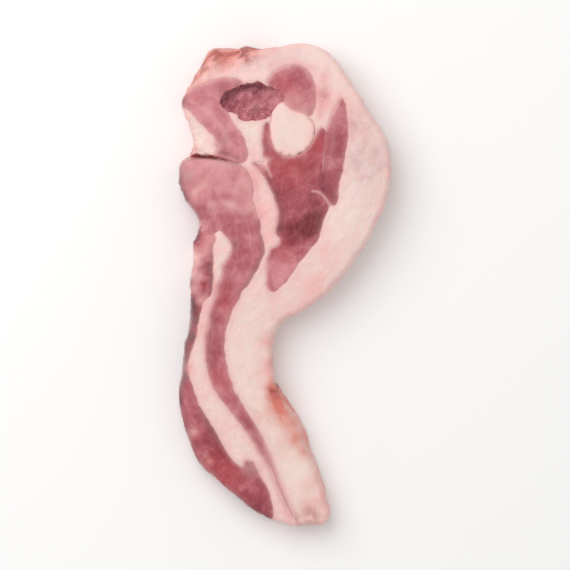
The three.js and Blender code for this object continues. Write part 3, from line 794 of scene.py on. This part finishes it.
# dark spots along the left edge, partly painted shadow at the rim
dusky = [
    (-78, 42, 5, 1.2), (-79, -32, 5, 0.5), (-80, -18, 4, 0.9), (-88, -60, 7, 0.4), (-31, -158, 9, 0.75),
    (-82, 4, 4, 0.45), (-78, -158, 6, 0.3), (-86, -79, 5, 0.6), (-80, -45, 5, 0.9),
]
# the last line darkens the left edge, partly painted shade of the wall and partly skin
dark_sides = [
    ([(-63, 34), (-64, 10), (-64, -7)], 0.8, 0.6),
    ([(-66, -12), (-75, -34)], 0.7, 0.3),
    ([(-72, -108), (-58, -132), (-46, -150)], 1.3, 0.55),
    ([(-80, -13), (-80, -28), (-83, -38), (-86, -63), (-88, -75), (-91, -103)], 1.1, 0.6),
]
# painted shade on the rounded outer wall
paint(flank_outer, "dusk_and_shade", np.minimum(0.8 * side, 0.35) + blots(at, dusky) + streaks(at, dark_sides))
red = [
    (-70.5, -1, 4, 0.4), (-68, 36, 10, 0.35), (-76, -128, 5, 0.5), (-65, -153, 4, 0.5),
    (-46, -160, 20, 0.45),
]
paint(flank_outer, "stain", blots(at, red))
flank_outer.data.materials.append(length_cut)
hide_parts("lean_flank_outer")


# The fat: a strip between the two flank muscles, a small wedge in the chine strip's bend, and the cap. The
# cap runs round the outside from the chine, is 20 mm thick beside the eye and ends as the tail's band. It
# fills what the other tissues leave of the slice.
FLANK_FAT = [
    (-61, 46), (-54, 49), (-44, 39), (-59, -19), (-63, -58), (-60, -79), (-52, -96), (-30, -125),
    (-13, -156), (-7, -172), (9, -202), (13, -213), (-10, -213), (-16, -193), (-34, -165), (-54, -148),
    (-74, -118), (-86, -83), (-82, -53), (-76, -23), (-66, -3), (-66, 27),
]
NOTCH_FAT = [
    (-92, 153), (-82, 155), (-63, 134), (-55, 124), (-54, 115), (-60, 108), (-74, 108), (-86, 108),
    (-88, 122),
]
CAP_RUN = [
    (-80, 172), (-40, 188), (8, 198), (50, 170), (72, 110), (62, 50), (20, 0), (-30, -40), (-30, -90),
    (34, -240),
]

# Raw lamb fat: firm, creamy and faintly see-through, waxy more than wet, in soft lobules that lie along
# the skin. Juice tints it pink beside the lean, and dried blood stains the outer skin orange and brown.
LOBULE, LOBULE_WARP, FINEST = 2.6, 5, 1.0
CLOUD, BLOTCH = 9, 4  # how wide its lighter patches are, and the blots of blood and painted shade
lamb_fat, tree, shader = surface(
    "raw_lamb_fat", Subsurface_Weight=0.25, Subsurface_Scale=0.003, Coat_Weight=0.06, Coat_Roughness=0.35
)
tone, cool_and_shade, film, stain, dusk_and_shade = [
    add(tree, "Attribute", attribute_name=painted).outputs["Fac"]
    for painted in ("tone", "cool_and_shade", "film", "stain", "dusk_and_shade")
]
place = add(tree, "Attribute", attribute_name="grain").outputs["Vector"]
warp = add(tree, "TexNoise", {"Vector": place, "Scale": 1 / LOBULE_WARP, "Detail": 3.0}).outputs["Color"]
place = add(tree, "VectorMath", {0: warp, 1: (4.0, 4.0, 4.0), 2: place}, operation="MULTIPLY_ADD").outputs[0]
lobes = add(tree, "VectorMath", {0: place, 1: (0.4, 1.0, 0.7)}, operation="MULTIPLY").outputs[0]
cells = add(tree, "TexVoronoi", {"Vector": lobes, "Scale": 1 / LOBULE}, feature="SMOOTH_F1")
cell_shade = add(tree, "SeparateColor", {0: cells.outputs["Color"]}).outputs[0]
walls = add(
    tree, "TexVoronoi", {"Vector": lobes, "Scale": 1 / LOBULE}, feature="DISTANCE_TO_EDGE"
).outputs["Distance"]
creases = add(
    tree, "MapRange", {"Value": walls, 1: 0.0, 2: 0.2, 3: 1.0, 4: 0.0}, interpolation_type="SMOOTHSTEP"
).outputs[0]
cloud = add(tree, "TexNoise", {"Vector": place, "Scale": 1 / CLOUD, "Detail": 4.0}).outputs["Fac"]
fine = add(tree, "TexNoise", {"Vector": lobes, "Scale": 1 / FINEST, "Detail": 3.0}).outputs["Fac"]
for pattern, weight in ((cloud, 2.2), (cell_shade, 0.35), (fine, 0.6)):
    lower = add(tree, "Math", {0: tone, 1: weight / 2}, operation="SUBTRACT").outputs[0]
    tone = add(tree, "Math", {0: pattern, 1: weight, 2: lower}, operation="MULTIPLY_ADD").outputs[0]
rosy = add(tree, "MapRange", {"Value": tone, 1: -1.0, 2: 0.0}).outputs[0]
pink = add(tree, "Clamp", {0: tone}).outputs[0]
faint = add(tree, "Math", {0: creases, 1: 0.06}, operation="MULTIPLY").outputs[0]
patchy = add(tree, "MapRange", {"Value": cloud, 1: 0.3, 2: 0.7, 3: 0.5, 4: 1.5}).outputs[0]
stained = add(tree, "Math", {0: patchy, 1: stain}, operation="MULTIPLY").outputs[0]
# The dark layer is partly dried blood and partly painted shade, where the cap curves away and along the
# cleft. The cool layer greys the fat, partly as painted shade.
blood_and_shade_blots = add(tree, "TexNoise", {"Vector": place, "Scale": 1 / BLOTCH, "Detail": 4.0}).outputs["Fac"]
blotchy = add(tree, "MapRange", {"Value": blood_and_shade_blots, 1: 0.4, 2: 0.6, 3: 0.1, 4: 1.6}).outputs[0]
blood_and_shade_share = add(tree, "Math", {0: blotchy, 1: dusk_and_shade}, operation="MULTIPLY").outputs[0]
suet = linear("#eedacd")
for share, colour in (
    (rosy, "#edcdc6"), (pink, "#f0b7b2"), (faint, "#d9a49c"), (cool_and_shade, "#cdcac4"),
    (film, "#e5a2a1"), (stained, "#da7d6f"), (blood_and_shade_share, "#9c4543"),
):
    suet = add(tree, "Mix", {0: share, 6: suet, 7: linear(colour)}, data_type="RGBA").outputs[2]
tree.links.new(suet, shader.inputs["Base Color"])
gloss = add(tree, "MapRange", {"Value": cloud, 1: 0.3, 2: 0.7, 3: 0.42, 4: 0.6}).outputs[0]
tree.links.new(gloss, shader.inputs["Roughness"])
height = add(tree, "Math", {0: creases, 1: -0.5, 2: fine}, operation="MULTIPLY_ADD").outputs[0]
relief = add(tree, "Bump", {"Height": height, "Strength": 0.3, "Distance": 0.00025})
tree.links.new(relief.outputs[0], shader.inputs["Normal"])

flank_fat_line = ragged(smooth_line(FLANK_FAT))
flank_fat, at, edge, side, _ = cut_piece("flank_fat", flank_fat_line, lift=0.2, bumps=0.18)
paint(flank_fat, "grain", grain(at, TAIL_RUN))
blush = [
    (-55, 30, 12, 0.1), (-66, -30, 22, 0.9), (-60, -100, 14, -0.2), (2, -195, 18, 0.6), (-70, 0, 14, 0.4),
]
paint(flank_fat, "tone", blots(at, blush))
pinker = [(-62, -3, 6, 1.0), (-20, -160, 5, 0.3), (-81, -72, 5, 0.5), (-78, -44, 4, 0.2)]
paint(flank_fat, "film", 0.75 * np.exp(-edge / 1.1) + 0.3 * side + blots(at, pinker))
paint(flank_fat, "stain", np.zeros(len(at)))
paint(flank_fat, "cool_and_shade", np.zeros(len(at)))
paint(flank_fat, "dusk_and_shade", blots(at, [(-22, -166, 8, 0.12)]))
flank_fat.data.materials.append(lamb_fat)
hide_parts("fat_flank")

notch_line = ragged(smooth_line(NOTCH_FAT))
notch_fat, at, edge, side, _ = cut_piece("notch_fat", notch_line, lift=-0.6, bumps=0.2)
paint(notch_fat, "grain", grain(at, [(-85, 150), (-62, 115)]))
paint(notch_fat, "tone", 0.2 + 0.4 * side)
paint(notch_fat, "film", 0.65 * np.exp(-edge / 0.9) + 0.3 * side)
paint(notch_fat, "stain", 0.1 * side)
paint(notch_fat, "cool_and_shade", blots(at, [(-74, 137, 6, 0.25)]))
# darker spots near the cleft, and painted shade along it
dark_spots = [(-56, 120, 5, 0.6), (-76, 115, 4, 0.5), (-70, 112, 4, 0.4)]
cleft_shade_lip = [([(-90, 108), (-74, 110), (-58, 109.5)], 1.0, 0.8)]
paint(notch_fat, "dusk_and_shade", blots(at, dark_spots) + streaks(at, cleft_shade_lip))
notch_fat.data.materials.append(lamb_fat)
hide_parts("fat_notch")

fat_cap, at, edge, side, to_rim = cut_piece("fat_cap_and_band", rim, bumps=0.22, bump_size=5)
paint(fat_cap, "grain", grain(at, CAP_RUN))
blush = [
    (60, 116, 18, -0.1), (60, 60, 20, -0.4), (40, 20, 20, 0.2), (26, -2, 14, 0.45), (-28, 125, 14, 0.1),
    (-26, 96, 9, 0.9), (-17, 66, 11, 0.9), (-16, 40, 10, 0.9), (-34, -60, 16, -0.5), (-15, -70, 10, 0.5),
    (-30, 136, 8, -0.8), (-26, -24, 10, -0.5), (-34, -84, 8, -0.4),
    (10, -150, 30, -0.5), (30, -190, 14, 0.3), (-40, 186, 14, 0.5), (-14, 197, 14, 0.4), (34, 160, 8, 0.5),
    (-8, -18, 14, 0.1), (-18, -110, 14, -0.4),
]
paint(fat_cap, "tone", blots(at, blush) + 0.15 * np.exp(-to_rim / 2.0) + 0.3 * side)
pink = [
    ([(28, 170), (31, 159), (30, 146)], 1.6, 0.7),
    ([(34, 180), (35, 164), (31, 149)], 2.4, 0.6),
    ([(-86, 164), (-70, 173), (-40, 184)], 1.2, 0.35),
    ([(-14, 187), (8, 195), (26, 186)], 1.6, 0.3),
    ([(-28, 96), (-24, 78), (-22, 60)], 1.8, 0.4),
]
# pinker film; over the crescent it also stands for painted shade where the cap curves away
soft = [
    (64, 138, 14, 0.35), (72, 108, 14, 0.2), (78, 80, 14, 0.12), (-14, 197, 8, 0.2), (-18, 58, 5, 0.3),
    (-20, 50, 4, 0.2), (-8, 56, 4, 0.3), (-26, 88, 6, 0.3),
]
paint(fat_cap, "film", 0.75 * np.exp(-edge / 1.1) + streaks(at, pink) + blots(at, soft))
# greyer fat, partly painted shade where the cap curves away at its right side and top
grey_and_shade = [(-4, 201, 22, 0.32), (72, 108, 20, 0.38), (63, 140, 12, 0.15), (66, 74, 16, 0.14)]
paint(fat_cap, "cool_and_shade", blots(at, grey_and_shade))
upper_left = ease(-at[:, 0] / GRID, -5, 30) * ease(at[:, 1] / GRID, 150, 172)
tail_right = ease(-at[:, 1] / GRID, 70, 85) * ease(at[:, 0] / GRID, -16, 0)
orange = [
    (-10, -89, 7, 0.9), (-5, -99, 9, 1.2), (0, -111, 9, 1.1), (4, -122, 8, 0.6), (9, -134, 7, 0.65),
    (15, -145, 6, 0.65), (-13, -48, 8, 0.6), (24, -196, 14, 0.3), (22, -172, 8, 0.25), (-12, -68, 6, 0.5),
    (-18, -110, 10, 0.25), (-4, -142, 10, 0.15),
]
orange_on_top = (1 - 0.6 * side) * blots(at, orange)
paint(fat_cap, "stain", side * (0.8 * upper_left + 0.3 * tail_right) + orange_on_top)
# blood, and painted shade over the crescent where the cap curves away
blood_and_shade = [
    (-34, 198, 9, 0.65), (-11, -90, 3, 0.9), (-8, -96, 6, 0.35), (22, -200, 9, 0.3), (8, -204, 6, 0.25),
    (64, 140, 12, 0.15), (70, 106, 18, 0.16), (34, 163, 6, 0.25), (-14, 198, 8, 0.08),
]
# darker towards the wall's foot at the upper left
foot = [(-28, 202, 10, 1.5), (-74, 176, 9, 0.6), (-60, 186, 7, 0.4)]
at_foot = ease(-at[:, 2], -8, 1)
paint(fat_cap, "dusk_and_shade", 0.4 * side * upper_left + blots(at, blood_and_shade) + at_foot * blots(at, foot))
fat_cap.data.materials.append(lamb_fat)
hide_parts("fat_cap")


# The stage: a plain pale floor, one wide soft lamp above and to the upper left, and even light from all
# round. The camera looks straight down on the chop, from far enough away to keep its true outline.
FLOOR_REACH = 2  # metres to each side
corners = [(-1, -1, 0), (1, -1, 0), (1, 1, 0), (-1, 1, 0)]
floor_mesh = bpy.data.meshes.new("floor")
floor_mesh.from_pydata([Vector(corner) * FLOOR_REACH for corner in corners], [], [(0, 1, 2, 3)])
floor = bpy.data.objects.new("floor", floor_mesh)
bpy.context.scene.collection.objects.link(floor)
board, *_ = surface("plain_pale_board", Roughness=0.9, Base_Color=linear("#f8f7f6"))
floor_mesh.materials.append(board)

scene = bpy.context.scene
scene.view_settings.view_transform = "Standard"
scene.world = bpy.data.worlds.new("soft_room")
scene.world.use_nodes = True
scene.world.node_tree.nodes["Background"].inputs["Color"].default_value = linear("#ffffff")
scene.world.node_tree.nodes["Background"].inputs["Strength"].default_value = 0.66

lamp_data = bpy.data.lights.new("softbox", "AREA")
lamp_data.shape = "DISK"
lamp_data.size = 1.1
lamp_data.energy = 6.5
lamp = bpy.data.objects.new("softbox", lamp_data)
lamp.location = (-0.45, 0.45, 0.8)
lamp.rotation_euler = (-lamp.location).to_track_quat("-Z", "Y").to_euler()
scene.collection.objects.link(lamp)

camera_data = bpy.data.cameras.new("camera")
camera_data.lens = 240
camera_data.sensor_width = 36
FRAME_LENGTH = 0.236  # how much of the board shows from top to bottom
camera = bpy.data.objects.new("camera", camera_data)
camera.location = (0, 0, FLAT_HEIGHT * MM + FRAME_LENGTH * camera_data.lens / camera_data.sensor_width)
scene.collection.objects.link(camera)
scene.camera = camera
